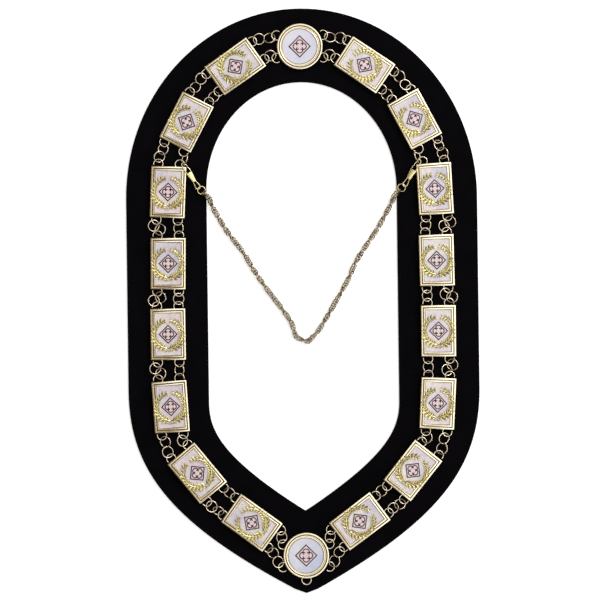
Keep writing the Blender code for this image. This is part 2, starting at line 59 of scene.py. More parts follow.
def add(tree, kind, settings=None, **inputs):
    """Adds a node. An input is a value, or the socket that feeds it."""
    made = tree.nodes.new(kind)
    for name, value in (settings or {}).items():
        setattr(made, name, value)
    for name, value in inputs.items():
        socket = made.inputs[int(name[1:])] if name[1:].isdigit() else made.inputs[name.replace("_", " ")]
        if isinstance(value, bpy.types.NodeSocket):
            tree.links.new(value, socket)
        else:
            socket.default_value = value
    return made


def new_material(name):
    """An empty material with its shader linked to its output."""
    material = bpy.data.materials.new(name)
    material.use_nodes = True
    tree = material.node_tree
    return material, tree, tree.nodes["Principled BSDF"]


TABLE_HALF = 12
# A hair below z = 0, under the safety chain's lowest links
TABLE_LEVEL = -0.0002
floor_bm = bmesh.new()
bmesh.ops.create_grid(floor_bm, x_segments=2, y_segments=2, size=TABLE_HALF)
floor_mesh = bpy.data.meshes.new("table_top")
floor_bm.to_mesh(floor_mesh)
floor_bm.free()
table_top = bpy.data.objects.new("table_top", floor_mesh)
table_top.location.z = TABLE_LEVEL
bpy.context.scene.collection.objects.link(table_top)
matt_laminate, tree, shader = new_material("matt_white_laminate")
shader.inputs["Base Color"].default_value = linear("#f7f7f8")
shader.inputs["Roughness"].default_value = 0.7
shader.inputs["Specular IOR Level"].default_value = 0.2
shader.inputs["Emission Color"].default_value = linear("#ffffff")
shader.inputs["Emission Strength"].default_value = 0.45
table_top.data.materials.append(matt_laminate)

world = bpy.data.worlds.new("studio")
bpy.context.scene.world = world
world.use_nodes = True
sky = world.node_tree
way = add(sky, "ShaderNodeTexCoord")
parts = add(sky, "ShaderNodeSeparateXYZ", Vector=way.outputs["Generated"])
fall = add(sky, "ShaderNodeValToRGB", Fac=parts.outputs["Z"])
fall.color_ramp.elements[0].position = 0.05
fall.color_ramp.elements[0].color = linear("#3a3a3c")
fall.color_ramp.elements[1].position = 0.9
fall.color_ramp.elements[1].color = linear("#ffffff")
fall.color_ramp.elements.new(0.6).color = linear("#b3b3b4")
rightward = add(
    sky, "ShaderNodeMapRange",
    Value=parts.outputs["X"], From_Min=-0.13, From_Max=0.1, To_Min=0.29, To_Max=1.67,
)
# The room to the left is darker, and its wood is mirrored in the metal
warmth = add(
    sky, "ShaderNodeMapRange",
    Value=parts.outputs["X"], From_Min=-0.13, From_Max=0.02, To_Min=0.0, To_Max=1.0,
)
tint = add(
    sky, "ShaderNodeMix", {"data_type": "RGBA"},
    Factor=warmth.outputs["Result"], _6=linear("#f0cfa6"), _7=linear("#ffffff"),
)
room = add(
    sky, "ShaderNodeMix", {"data_type": "RGBA", "blend_type": "MULTIPLY"},
    Factor=1.0, _6=fall.outputs["Color"], _7=tint.outputs[2],
)
sky.links.new(room.outputs[2], sky.nodes["Background"].inputs["Color"])
sky.links.new(rightward.outputs["Result"], sky.nodes["Background"].inputs["Strength"])

for lamp_name, place, size, watts, colour in (
    ("far_softbox", (1.15, 1.3, 1.3), 1.0, 19, "#fffaf4"),
    ("left_softbox", (-1.3, 0.5, 1.1), 0.8, 2, "#f4f6ff"),
    ("low_right_strip", (1.4, -0.9, 0.6), 0.35, 3, "#fff4e2"),
):
    lamp = bpy.data.objects.new(lamp_name, bpy.data.lights.new(lamp_name, "AREA"))
    lamp.data.size = size
    lamp.data.energy = watts
    lamp.data.color = linear(colour)[:3]
    lamp.location = place
    lamp.rotation_euler = (-Vector(place)).to_track_quat("-Z", "Y").to_euler()
    bpy.context.scene.collection.objects.link(lamp)

LENS = 100
SENSOR = 36
# How much the picture spans at the height of the plates, what lies at its middle, and its turn
VIEW_WIDTH = 0.660
VIEW_HEIGHT = 0.004
VIEW_MIDDLE = (-0.0032, 0.0009)
VIEW_TURN = radians(-0.734)
camera = bpy.data.objects.new("camera", bpy.data.cameras.new("camera"))
camera.data.lens = LENS
camera.data.sensor_width = SENSOR
camera.data.clip_end = 20
camera.location = (*VIEW_MIDDLE, VIEW_HEIGHT + VIEW_WIDTH * LENS / SENSOR)
camera.rotation_euler = (0, 0, VIEW_TURN)
bpy.context.scene.collection.objects.link(camera)
bpy.context.scene.camera = camera
bpy.context.scene.view_settings.view_transform = "Standard"

# The collar: a band of cotton velvet over stiffened cloth, cut to a round top and a pointed foot.
# The velvet turns over the edge all round. Its short pile is near black, and where it has been
# brushed or pressed it takes a faint brown or violet light.

HALF_WIDTH = 0.1934
NECK_HALF_WIDTH = 0.1047
VELVET_THICKNESS = 0.0025
EDGE_ROLL = 0.0010
# How far the face waves up and down, about a level that is half of this lower
WAVE_HEIGHT = 0.00012
WAVES_PER_METRE = 45
ARC_POINTS = 34
SIDE_POINTS = 22
CURVE_POINTS = 34
BAND_ROWS = 12


def edge_half(half_width, top, shoulder, hip, hip_pull, tip, tip_pull, tip_slope, tip_round):
    """The right half of one edge: a quarter ellipse, a straight side and a curve to a tip."""
    slope = radians(tip_slope)
    points = []
    for turn in np.linspace(pi / 2, 0, ARC_POINTS, endpoint=False):
        points.append((half_width * cos(turn), shoulder + (top - shoulder) * sin(turn)))
    for height in np.linspace(shoulder, hip, SIDE_POINTS, endpoint=False):
        points.append((half_width, float(height)))
    corners = np.array(
        [
            (half_width, hip),
            (half_width, hip - hip_pull),
            (tip_pull * cos(slope), tip + tip_pull * sin(slope)),
            (0, tip),
        ]
    )
    lowest = tip + tip_round / cos(slope) - tip_round
    for t in np.linspace(0, 1, CURVE_POINTS):
        x, y = np.array([(1 - t) ** 3, 3 * t * (1 - t) ** 2, 3 * t * t * (1 - t), t**3]) @ corners
        if x < tip_round * sin(slope):
            y = lowest + tip_round - (tip_round**2 - x**2) ** 0.5
        points.append((float(x), float(y)))
    return points


def extrude(bm, faces, rise):
    """Extrudes faces straight up, or down where the rise is negative."""
    raised = bmesh.ops.extrude_face_region(bm, geom=faces, use_keep_orig=True)["geom"]
    moved = [item for item in raised if isinstance(item, bmesh.types.BMVert)]
    bmesh.ops.translate(bm, verts=moved, vec=(0, 0, rise))


outer_half = edge_half(
    HALF_WIDTH, top=0.3220, shoulder=0.1131, hip=-0.0981, hip_pull=0.0918,
    tip=-0.3241, tip_pull=0.1598, tip_slope=27.9, tip_round=0.016,
)
neck_half = edge_half(
    NECK_HALF_WIDTH, top=0.2407, shoulder=0.1224, hip=-0.1091, hip_pull=0.0292,
    tip=-0.2312, tip_pull=0.1169, tip_slope=32.9, tip_round=0.0008,
)
bm = bmesh.new()
loops = []
for half in (outer_half, neck_half):
    line = half + [(-x, y) for x, y in half[-2:0:-1]]
    corners = [bm.verts.new((x, y, VELVET_THICKNESS)) for x, y in line]
    loops += [bm.edges.new((a, b)) for a, b in zip(corners, corners[1:] + corners[:1])]
bmesh.ops.bridge_loops(bm, edges=loops)
across = [edge for edge in bm.edges if not edge.is_boundary]
bmesh.ops.subdivide_edges(bm, edges=across, cuts=BAND_ROWS, use_grid_fill=True)
bmesh.ops.recalc_face_normals(bm, faces=bm.faces)
if bm.faces[0].normal.z < 0:
    bmesh.ops.reverse_faces(bm, faces=bm.faces)
band_area = sum(face.calc_area() for face in bm.faces)
extrude(bm, bm.faces[:], -VELVET_THICKNESS)
bmesh.ops.recalc_face_normals(bm, faces=bm.faces)
bm.normal_update()
sharp = [e for e in bm.edges if e.is_manifold and e.calc_face_angle() > radians(60)]
bmesh.ops.bevel(
    bm, geom=sharp, offset=EDGE_ROLL, offset_type="OFFSET", segments=4, profile=0.5,
    affect="EDGES", material=-1, clamp_overlap=True,
)
for vert in bm.verts:
    if vert.co.z > VELVET_THICKNESS - 0.00001:
        vert.co.z += WAVE_HEIGHT * noise.noise(vert.co * WAVES_PER_METRE) - WAVE_HEIGHT / 2


def new_piece(name, bm, material, body="collar", angle=35):
    """Turns a bmesh into a piece that rides on a body, smooth but for its sharp edges."""
    mesh = bpy.data.meshes.new(name)
    bm.to_mesh(mesh)
    bm.free()
    mesh.shade_smooth()
    mesh.set_sharp_from_angle(angle=radians(angle))
    mesh.materials.append(material)
    piece = bpy.data.objects.new(name, mesh)
    bpy.context.scene.collection.objects.link(piece)
    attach(piece, body)
    return piece


# Cotton velvet: cut pile of about 1 mm. The pile swallows light seen end on, and lights up only at
# a low angle. Tufts are really 0.3 mm apart, and are drawn at 0.7 mm so that they show.
cotton_velvet, tree, shader = new_material("cotton_velvet")
spot = add(tree, "ShaderNodeTexCoord").outputs["Object"]
brushed = add(tree, "ShaderNodeTexNoise", Vector=spot, Scale=38.0, Detail=4.0, Roughness=0.6)
tuft = add(tree, "ShaderNodeTexNoise", Vector=spot, Scale=1400.0, Detail=2.0)
lint = add(tree, "ShaderNodeTexNoise", Vector=spot, Scale=420.0, Detail=1.0)
nap = add(
    tree, "ShaderNodeMix", {"data_type": "RGBA"},
    Factor=brushed.outputs["Fac"], _6=linear("#020203"), _7=linear("#0a080c"),
)
specks = add(
    tree, "ShaderNodeMapRange",
    Value=lint.outputs["Fac"], From_Min=0.62, From_Max=0.85, To_Min=0.0, To_Max=0.2,
)
pile = add(
    tree, "ShaderNodeMix", {"data_type": "RGBA"},
    Factor=specks.outputs["Result"], _6=nap.outputs[2], _7=linear("#2a2028"),
)
fuzz = add(
    tree, "ShaderNodeBump", Height=tuft.outputs["Fac"], Strength=0.6, Distance=0.0004,
)
tree.links.new(pile.outputs[2], shader.inputs["Base Color"])
tree.links.new(fuzz.outputs["Normal"], shader.inputs["Normal"])
shader.inputs["Roughness"].default_value = 0.95
shader.inputs["Specular IOR Level"].default_value = 0.05
shader.inputs["Sheen Weight"].default_value = 0.06
shader.inputs["Sheen Roughness"].default_value = 0.4
shader.inputs["Sheen Tint"].default_value = linear("#8d7f93")

velvet = new_piece("velvet_band", bm, cotton_velvet)
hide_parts("velvet_backing")

# The plaques and medallions: cast brass plates, ground flat, polished and plated with pale gold.
# Each has a flat outer rim, a thin groove and an inner rim round a sunk field, and open loops of
# wire soldered to its ends. Below the rims' top the gold is painted darker, as painted shade.

PLATE_BACK = 0.0028
PLATE_THICKNESS = 0.0045
PLATE_FACE = PLATE_BACK + PLATE_THICKNESS
PLAQUE_WIDTH = 0.0380
PLAQUE_LENGTH = 0.0560
MEDALLION_RADIUS = 0.0249
RIM_WIDTH = 0.0018
GROOVE_WIDTH = 0.0006
GROOVE_DEPTH = 0.0008
RELIEF_SLOPE = 0.00025
FIELD_DEPTH = 0.0009
INNER_RIM_WIDTH = 0.0015
# A medallion's inner rim is parted by a second, finer groove
MEDALLION_RIM_WIDTH = 0.0010
MEDALLION_LIP_WIDTH = 0.0006
FINE_GROOVE_WIDTH = 0.0002
FINE_GROOVE_DEPTH = 0.00018
FINE_SLOPE = 0.0003
RIM_ROUND = 0.00012
# The steps from the plate's edge inwards: how far across, and how far up
EDGE_GROOVE = (
    (RIM_WIDTH, 0), (RELIEF_SLOPE, -GROOVE_DEPTH), (GROOVE_WIDTH, 0), (RELIEF_SLOPE, GROOVE_DEPTH),
)
PLAQUE_BORDER = (*EDGE_GROOVE, (INNER_RIM_WIDTH, 0), (RELIEF_SLOPE, -FIELD_DEPTH))
MEDALLION_BORDER = (
    *EDGE_GROOVE, (MEDALLION_RIM_WIDTH, 0), (FINE_SLOPE, -FINE_GROOVE_DEPTH), (FINE_GROOVE_WIDTH, 0),
    (FINE_SLOPE, FINE_GROOVE_DEPTH), (MEDALLION_LIP_WIDTH, 0), (RELIEF_SLOPE, -FIELD_DEPTH),
)
HOOK_RADIUS = 0.0051
HOOK_WIRE = 0.00125
HOOK_HEIGHT = 0.0038
STRAND_OFFSET = 0.0118
HOOK_REACH = PLAQUE_LENGTH / 2 + 0.0027
MEDALLION_STRAND_OFFSET = 0.0124
MEDALLION_HOOK_OUT = MEDALLION_RADIUS + 0.0035
JEWEL_LOOP_OUT = MEDALLION_RADIUS + 0.0018
# Where the right half's plaques lie: x, y, and the chain's way there in degrees clockwise from +X
PLAQUE_ROUTE = (
    (0.0710, 0.2583, 34.6),
    (0.1252, 0.1980, 62.3),
    (0.1466, 0.1213, 87.2),
    (0.1475, 0.0427, 89.1),
    (0.1485, -0.0349, 90.2),
    (0.1467, -0.1145, 93.3),
    (0.1184, -0.1879, 129.0),
    (0.0593, -0.2430, 143.6),
)


def lying(x, y, way):
    """The place of a piece whose own +Y runs along the chain."""
    turn = Matrix.Rotation(radians(-way - 90), 4, "Z")
    return Matrix.Translation((x, y, PLATE_BACK)) @ turn


right_places = [lying(*row) for row in PLAQUE_ROUTE]
left_places = [lying(-x, y, -way) @ Matrix.Rotation(pi, 4, "Z") for x, y, way in PLAQUE_ROUTE]
plaque_places = right_places + left_places
top_place = lying(0, 0.2794, 0)
bottom_place = lying(0, -0.2798, 180)
medallion_places = [top_place, bottom_place]


def copies(bm, places, joined=None):
    """Sets out a copy of a shape at each place, in the given bmesh or in one of their own."""
    mesh = bpy.data.meshes.new("copied")
    bm.to_mesh(mesh)
    bm.free()
    if joined is None:
        joined = bmesh.new()
    for place in places:
        before = len(joined.verts)
        joined.from_mesh(mesh)
        joined.verts.ensure_lookup_table()
        bmesh.ops.transform(joined, matrix=place, verts=joined.verts[before:])
    bpy.data.meshes.remove(mesh)
    return joined


def close_ends(bm, tips, wire, sides, rows):
    """Caps a wire's two open ends, and rounds each tip with a ball."""
    bmesh.ops.holes_fill(bm, edges=[edge for edge in bm.edges if edge.is_boundary], sides=sides)
    for tip in tips:
        bmesh.ops.create_uvsphere(
            bm, u_segments=sides, v_segments=rows, radius=wire / 2, matrix=Matrix.Translation(tip)
        )


def wire_arc(bm, centre, out, side, radius, wire, first=0, last=360, steps=32, sides=12):
    """Bends round wire about a centre, from the way out (0 degrees) towards the side."""
    up = out.cross(side).normalized()
    stand = Matrix((out.normalized(), up.cross(out).normalized(), up)).transposed().to_4x4()
    stand.translation = centre
    start = (
        stand
        @ Matrix.Rotation(radians(first), 4, "Z")
        @ Matrix.Translation((radius, 0, 0))
        @ Matrix.Rotation(pi / 2, 4, "X")
    )
    whole = last - first == 360
    section = bmesh.ops.create_circle(bm, radius=wire / 2, segments=sides, matrix=start)["verts"]
    edges = list(dict.fromkeys(edge for vert in section for edge in vert.link_edges))
    bmesh.ops.spin(
        bm, geom=section + edges, cent=centre, axis=up, angle=radians(last - first),
        steps=steps, use_merge=whole,
    )
    if not whole:
        turns = [Matrix.Rotation(radians(turn), 4, "Z") for turn in (first, last)]
        tips = [stand @ turn @ Vector((radius, 0, 0)) for turn in turns]
        close_ends(bm, tips, wire, sides, rows=8)


def stepped_slab(bm, outline, foot, top, steps):
    """A slab whose top goes up or down in steps from its edge, each an inset and a rise."""
    face = bm.faces.new([bm.verts.new((x, y, foot)) for x, y in outline])
    face.normal_update()
    if face.normal.z < 0:
        face.normal_flip()
    extrude(bm, [face], top - foot)
    bmesh.ops.recalc_face_normals(bm, faces=bm.faces)
    bm.normal_update()
    middle = max(bm.faces, key=lambda one: one.calc_center_median().z)
    for inset, rise in steps:
        bmesh.ops.inset_individual(
            bm, faces=[middle], thickness=inset, depth=rise, use_even_offset=True
        )


def rimmed_plate(bm, outline, border):
    """A plate of this outline with its rims, groove and sunk field, its back at z = 0."""
    stepped_slab(bm, outline, 0, PLATE_THICKNESS, border)
    bmesh.ops.recalc_face_normals(bm, faces=bm.faces)
    bm.normal_update()
    crisp = [e for e in bm.edges if e.calc_face_angle() > radians(35)]
    bmesh.ops.bevel(
        bm, geom=crisp, offset=RIM_ROUND, offset_type="OFFSET", segments=2, profile=0.5,
        affect="EDGES", material=-1, clamp_overlap=True,
    )


def end_loops(bm, offset, reach, first, last):
    """A plate's four open loops of wire, two at each end, bent between these angles."""
    for end in (-1, 1):
        for side in (-1, 1):
            centre = Vector((side * offset, end * reach, HOOK_HEIGHT))
            wire_arc(
                bm, centre, Vector((0, end, 0)), Vector((side, 0, 0)), HOOK_RADIUS, HOOK_WIRE,
                first, last, steps=22,
            )


def oblong(half_x, half_y):
    """A rectangle's corners, about the origin."""
    return ((-half_x, -half_y), (half_x, -half_y), (half_x, half_y), (-half_x, half_y))


def circle(radius):
    """Points round a circle, about the origin."""
    return [(radius * cos(turn), radius * sin(turn)) for turn in np.linspace(0, tau, 97)[:-1]]


bm = bmesh.new()
rimmed_plate(bm, oblong(PLAQUE_WIDTH / 2, PLAQUE_LENGTH / 2), PLAQUE_BORDER)
end_loops(bm, STRAND_OFFSET, HOOK_REACH, first=-142, last=100)
plaque_metal = copies(bm, plaque_places)

# Gold plate on polished cast brass: pale, with cloudy patches that are a little warmer. Fine scuffs
# and small dents break the shine. Everything more than a hair below the rims is painted darker and
# browner, down to dark brown: painted shade in the grooves, the sunk field, the plate's sides and
# its loops of wire.
# Painted shade: below the first height the gold darkens, and below the second it is dark brown
GOLD_SHADE_STARTS = PLATE_FACE - 0.0001
GOLD_SHADE_IS_FULL = PLATE_FACE - 0.00045
gold_plate, tree, shader = new_material("gold_plate_on_cast_brass")
spot = add(tree, "ShaderNodeTexCoord").outputs["Object"]
level = add(tree, "ShaderNodeSeparateXYZ", Vector=spot).outputs["Z"]
cloud = add(tree, "ShaderNodeTexNoise", Vector=spot, Scale=60.0, Detail=4.0)
scuff = add(tree, "ShaderNodeTexNoise", Vector=spot, Scale=900.0, Detail=3.0)
bright = add(
    tree, "ShaderNodeMix", {"data_type": "RGBA"},
    Factor=cloud.outputs["Fac"], _6=linear("#f2e7c2"), _7=linear("#fbf5de"),
)
# Painted shade: how far below the rims' top a point lies, from none to full
sunk = add(
    tree, "ShaderNodeMapRange", Value=level,
    From_Min=GOLD_SHADE_IS_FULL, From_Max=GOLD_SHADE_STARTS, To_Min=1.0, To_Max=0.0,
)
gold_with_painted_shade = add(
    tree, "ShaderNodeMix", {"data_type": "RGBA"},
    Factor=sunk.outputs["Result"], _6=bright.outputs[2], _7=linear("#7c6132"),
)
dull = add(
    tree, "ShaderNodeMapRange", Value=scuff.outputs["Fac"],
    From_Min=0.3, From_Max=0.7, To_Min=0.16, To_Max=0.32,
)
dents = add(tree, "ShaderNodeBump", Height=scuff.outputs["Fac"], Strength=0.12, Distance=0.0003)
tree.links.new(gold_with_painted_shade.outputs[2], shader.inputs["Base Color"])
tree.links.new(dull.outputs["Result"], shader.inputs["Roughness"])
tree.links.new(dents.outputs["Normal"], shader.inputs["Normal"])
shader.inputs["Metallic"].default_value = 1

plaques = new_piece("plaque_frames", plaque_metal, gold_plate)
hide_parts(*[f"plaque_{side}_{i}" for side in ("left", "right") for i in range(1, 9)])

medallion_reach = (MEDALLION_HOOK_OUT**2 - MEDALLION_STRAND_OFFSET**2) ** 0.5
bm = bmesh.new()
rimmed_plate(bm, circle(MEDALLION_RADIUS), MEDALLION_BORDER)
end_loops(bm, MEDALLION_STRAND_OFFSET, medallion_reach, first=-137, last=125)
medallion_metal = copies(bm, medallion_places)
# The loop at the foot, from which a jewel hangs
loop_centre = bottom_place @ Vector((-JEWEL_LOOP_OUT, 0, HOOK_HEIGHT))
wire_arc(
    medallion_metal, loop_centre, Vector((0, -1, 0)), Vector((1, 0, 0)), HOOK_RADIUS, HOOK_WIRE,
    first=-140, last=122, steps=24,
)
medallions = new_piece("medallion_frames", medallion_metal, gold_plate)
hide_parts("medallion_top", "medallion_bottom")

# The enamel: white vitreous enamel fired into each sunk field and stoned flat. It is pearly, with
# lavender and pink clouds, and has a high gloss. It dips a little from its edge, and a narrow gap
# parts it from the rim; the metal seen in the gap carries the plates' painted shade.

ENAMEL_TOP = PLATE_THICKNESS - 0.00035
ENAMEL_FOOT = PLATE_THICKNESS - FIELD_DEPTH - 0.0003
ENAMEL_SEAM = 0.0003
ENAMEL_DIP = ((0.0006, -0.00018), (0.0008, -0.00004))

border = sum(inset for inset, _ in PLAQUE_BORDER) + ENAMEL_SEAM
bm = bmesh.new()
field = oblong(PLAQUE_WIDTH / 2 - border, PLAQUE_LENGTH / 2 - border)
stepped_slab(bm, field, ENAMEL_FOOT, ENAMEL_TOP, ENAMEL_DIP)
plaque_enamel = copies(bm, plaque_places)
border = sum(inset for inset, _ in MEDALLION_BORDER) + ENAMEL_SEAM
bm = bmesh.new()
stepped_slab(bm, circle(MEDALLION_RADIUS - border), ENAMEL_FOOT, ENAMEL_TOP, ENAMEL_DIP)
medallion_enamel = copies(bm, medallion_places)

# Vitreous enamel: glass with fine white tin grains, so it is bright, glossy and a little uneven in
# colour. The clouds are 6 to 60 mm across, and the grey flecks where it was stoned through 3 mm.
white_enamel, tree, shader = new_material("white_vitreous_enamel")
spot = add(tree, "ShaderNodeTexCoord").outputs["Object"]
cloud = add(tree, "ShaderNodeTexNoise", Vector=spot, Scale=42.0, Detail=3.0, Roughness=0.55)
blush = add(tree, "ShaderNodeTexNoise", Vector=spot, Scale=17.0, Detail=2.0)
ripple = add(tree, "ShaderNodeTexNoise", Vector=spot, Scale=260.0, Detail=2.0)
fleck = add(tree, "ShaderNodeTexNoise", Vector=spot, Scale=330.0, Detail=3.0, Roughness=0.6)
spread = add(
    tree, "ShaderNodeMapRange", Value=cloud.outputs["Fac"],
    From_Min=0.35, From_Max=0.65, To_Min=0.0, To_Max=1.0,
)
warm = add(
    tree, "ShaderNodeMapRange", Value=blush.outputs["Fac"],
    From_Min=0.45, From_Max=0.7, To_Min=0.0, To_Max=0.75,
)
cool = add(
    tree, "ShaderNodeMix", {"data_type": "RGBA"},
    Factor=spread.outputs["Result"], _6=linear("#d5d0e3"), _7=linear("#efebe6"),
)
pearl = add(
    tree, "ShaderNodeMix", {"data_type": "RGBA"},
    Factor=warm.outputs["Result"], _6=cool.outputs[2], _7=linear("#f0dfe4"),
)
flecked = add(
    tree, "ShaderNodeMapRange", Value=fleck.outputs["Fac"],
    From_Min=0.5, From_Max=0.72, To_Min=0.0, To_Max=0.55,
)
stone = add(
    tree, "ShaderNodeMix", {"data_type": "RGBA"},
    Factor=flecked.outputs["Result"], _6=pearl.outputs[2], _7=linear("#b9ac9f"),
)
uneven = add(tree, "ShaderNodeBump", Height=ripple.outputs["Fac"], Strength=0.15, Distance=0.0004)
tree.links.new(stone.outputs[2], shader.inputs["Base Color"])
tree.links.new(uneven.outputs["Normal"], shader.inputs["Normal"])
shader.inputs["Roughness"].default_value = 0.14
shader.inputs["IOR"].default_value = 1.52
shader.inputs["Coat Weight"].default_value = 0.4
shader.inputs["Coat Roughness"].default_value = 0.05

new_piece("plaque_enamel", plaque_enamel, white_enamel)
# The medallions' enamel is of the same kind, bluer and with fewer flecks
blue_enamel = white_enamel.copy()
blue_enamel.name = "bluish_vitreous_enamel"
blue_enamel.node_tree.nodes[cool.name].inputs[6].default_value = linear("#ced6ef")
blue_enamel.node_tree.nodes[cool.name].inputs[7].default_value = linear("#e4e7f4")
blue_enamel.node_tree.nodes[pearl.name].inputs[7].default_value = linear("#e6deee")
blue_enamel.node_tree.nodes[flecked.name].inputs["To Max"].default_value = 0.2
new_piece("medallion_enamel", medallion_enamel, blue_enamel)

# The wreaths: two cast sprays of narrow leaves, soldered over each plaque's field and on to its
# long rims, which they cross. Their stems cross and curl at the foot, and their tips nearly meet.

WREATH_RADIUS = 0.0153
LEAF_LENGTH = 0.0056
LEAF_WIDTH = 0.0018
LEAF_THICKNESS = 0.0008
# A leaf is broadest near its foot, its tip rises, and its midrib stands up
LEAF_FOOT_WIDTH = 1.3
LEAF_TAPER = 0.75
LEAF_RISE = 0.0005
MIDRIB = 0.0002
# A spray's leaves stand at these stations, in degrees from its foot, and get smaller
LEAF_STATIONS = 13
SPRAY_START = 14
SPRAY_SWEEP = 152
LEAF_GROWN = 1.05
LEAF_SHRINK = 0.3
# At a station they stand in rows, inner to outer: how far across in spreads, and how high
LEAF_SPREAD = 0.0020
LEAF_ROWS = ((-1, 0.0), (0, 0.0004), (1, 0.0001), (1.8, -0.0002))
LEAF_LEVEL = PLATE_THICKNESS - 0.0001
LEAF_LEAN = 40
LEAF_SLOPE = 7
LEAF_WOBBLE = 9
# The outermost row stands away from the field's sides and ends, where sin(2 turn) passes this
FULL_FROM = 0.55
STEM_WIRE = 0.0009
STEM_LEVEL = PLATE_THICKNESS - 0.0003
# The curl at the end of each stem, and the tie's end beside it: how far across and below the
# wreath's middle, its radius, and the angle at which it starts
CURLS = ((-0.0046, 0.0156, 0.0019, 40), (-0.0019, 0.0172, 0.0015, 10))
CURL_SWEEP = 250
CURL_LEVEL = PLATE_THICKNESS + 0.0001

leaf = bmesh.new()
bmesh.ops.create_uvsphere(
    leaf, u_segments=8, v_segments=6, radius=0.5, matrix=Matrix.Rotation(pi / 2, 4, "X")
)
bmesh.ops.scale(leaf, verts=leaf.verts, vec=(LEAF_WIDTH, LEAF_LENGTH, LEAF_THICKNESS))
for vert in leaf.verts:
    along = vert.co.y / LEAF_LENGTH + 0.5
    vert.co.x *= LEAF_FOOT_WIDTH - LEAF_TAPER * along
    vert.co.z += LEAF_RISE * along * along
    if abs(vert.co.x) < MIDRIB and vert.co.z > 0:
        vert.co.z += MIDRIB
leaf_places = []
for hand in (-1, 1):
    for station, share in enumerate(np.linspace(0, 1, LEAF_STATIONS)):
        turn = radians(-90 + hand * (SPRAY_START + SPRAY_SWEEP * share))
        out = Vector((cos(turn), sin(turn), 0))
        ahead = turn if hand > 0 else turn + pi
        size = LEAF_GROWN - LEAF_SHRINK * share
        full = abs(sin(2 * turn)) > FULL_FROM
        for row, lift in LEAF_ROWS if full else LEAF_ROWS[:-1]:
            lean = hand * LEAF_LEAN * min(row, 1)
            place = out * (WREATH_RADIUS + row * LEAF_SPREAD * size)
            wobble = LEAF_WOBBLE * noise.noise(Vector((station * 1.7, row * 2.3, hand)))
            leaf_places.append(
                Matrix.Translation(place + Vector((0, 0, LEAF_LEVEL + lift)))
                @ Matrix.Rotation(ahead - radians(lean + hand * wobble), 4, "Z")
                @ Matrix.Rotation(radians(LEAF_SLOPE + wobble / 2), 4, "X")
                @ Matrix.Scale(size, 4)
            )
wreath = copies(leaf, leaf_places)
# The web that the leaves are cast on. It lies low, so the painted shade makes it a dark sheet between the
# leaves.
WEB_HALF_WIDTH = 0.0007
WEB_THICKNESS = 0.0003
WEB_FOOT = ENAMEL_TOP - 0.0002
WEB_ROUGHNESS = 0.7
WEB_START = 6
WEB_END = 166
WEB_POINTS = 60
for hand in (-1, 1):
    edges = []
    for edge in (-1, 1):
        for i, turn in enumerate(np.linspace(WEB_START, WEB_END, WEB_POINTS)):
            turn = radians(-90 + hand * turn)
            rough = 1 + WEB_ROUGHNESS * noise.noise(Vector((i * 0.9, edge * 4.1, hand)))
            radius = WREATH_RADIUS + edge * WEB_HALF_WIDTH * rough
            edges.append((radius * cos(turn), radius * sin(turn), WEB_FOOT))
    line = edges[:WEB_POINTS] + edges[WEB_POINTS:][::-1]
    web = wreath.faces.new([wreath.verts.new(point) for point in line])
    extrude(wreath, [web], WEB_THICKNESS)
bmesh.ops.recalc_face_normals(wreath, faces=wreath.faces)
for hand in (-1, 1):
    wire_arc(
        wreath, Vector((0, 0, STEM_LEVEL)), Vector((0, -1, 0)), Vector((hand, 0, 0)),
        WREATH_RADIUS, STEM_WIRE, first=-12, last=160, steps=24, sides=6,
    )
    for across, below, radius, start in CURLS:
        wire_arc(
            wreath, Vector((hand * across, -below, CURL_LEVEL)), Vector((0, 1, 0)),
            Vector((-hand, 0, 0)), radius, STEM_WIRE, start, start + CURL_SWEEP, steps=10, sides=6,
        )
wreath_metal = copies(wreath, [place @ Matrix.Rotation(pi, 4, "Z") for place in plaque_places])

# Gold plate on fine casting. Its colour is painted dark olive brown in the low parts and pale on the
# leaves' ridges: painted shade between the leaves. Blotches of random tone break it up.
# Painted shade: from the lower height up to the higher one, the leaf gold goes from dark olive brown to
# pale
LEAF_SHADE_TOP = PLATE_FACE + 0.0004
LEAF_SHADE_FOOT = PLATE_FACE - 0.0002
leaf_gold, tree, shader = new_material("gold_plate_on_fine_casting")
spot = add(tree, "ShaderNodeTexCoord").outputs["Object"]
level = add(tree, "ShaderNodeSeparateXYZ", Vector=spot).outputs["Z"]
grain = add(tree, "ShaderNodeTexNoise", Vector=spot, Scale=700.0, Detail=3.0)
blotch = add(tree, "ShaderNodeTexNoise", Vector=spot, Scale=240.0, Detail=2.0)
raised_share = add(
    tree, "ShaderNodeMapRange", Value=level,
    From_Min=LEAF_SHADE_FOOT, From_Max=LEAF_SHADE_TOP, To_Min=0.0, To_Max=1.0,
)
patched = add(
    tree, "ShaderNodeMath", {"operation": "MULTIPLY_ADD"},
    _0=blotch.outputs["Fac"], _1=0.9, _2=-0.45,
)
mixed = add(
    tree, "ShaderNodeMath", {"operation": "ADD", "use_clamp": True},
    _0=raised_share.outputs["Result"], _1=patched.outputs["Value"],
)
# Painted shade: dark olive brown low down, pale gold on the ridges
ridge = add(
    tree, "ShaderNodeMix", {"data_type": "RGBA"},
    Factor=mixed.outputs["Value"], _6=linear("#5b5228"), _7=linear("#fcf0ae"),
)
sandy = add(tree, "ShaderNodeBump", Height=grain.outputs["Fac"], Strength=0.3, Distance=0.0003)
tree.links.new(ridge.outputs[2], shader.inputs["Base Color"])
tree.links.new(sandy.outputs["Normal"], shader.inputs["Normal"])
shader.inputs["Metallic"].default_value = 1
shader.inputs["Roughness"].default_value = 0.3
new_piece("wreaths", wreath_metal, leaf_gold, angle=60)

# The devices: a plain lozenge round a four-lobed figure, laid in dark violet enamel lines on a pale
# rose ground. A plaque's stands inside its wreath, and a medallion's is larger and stands alone.

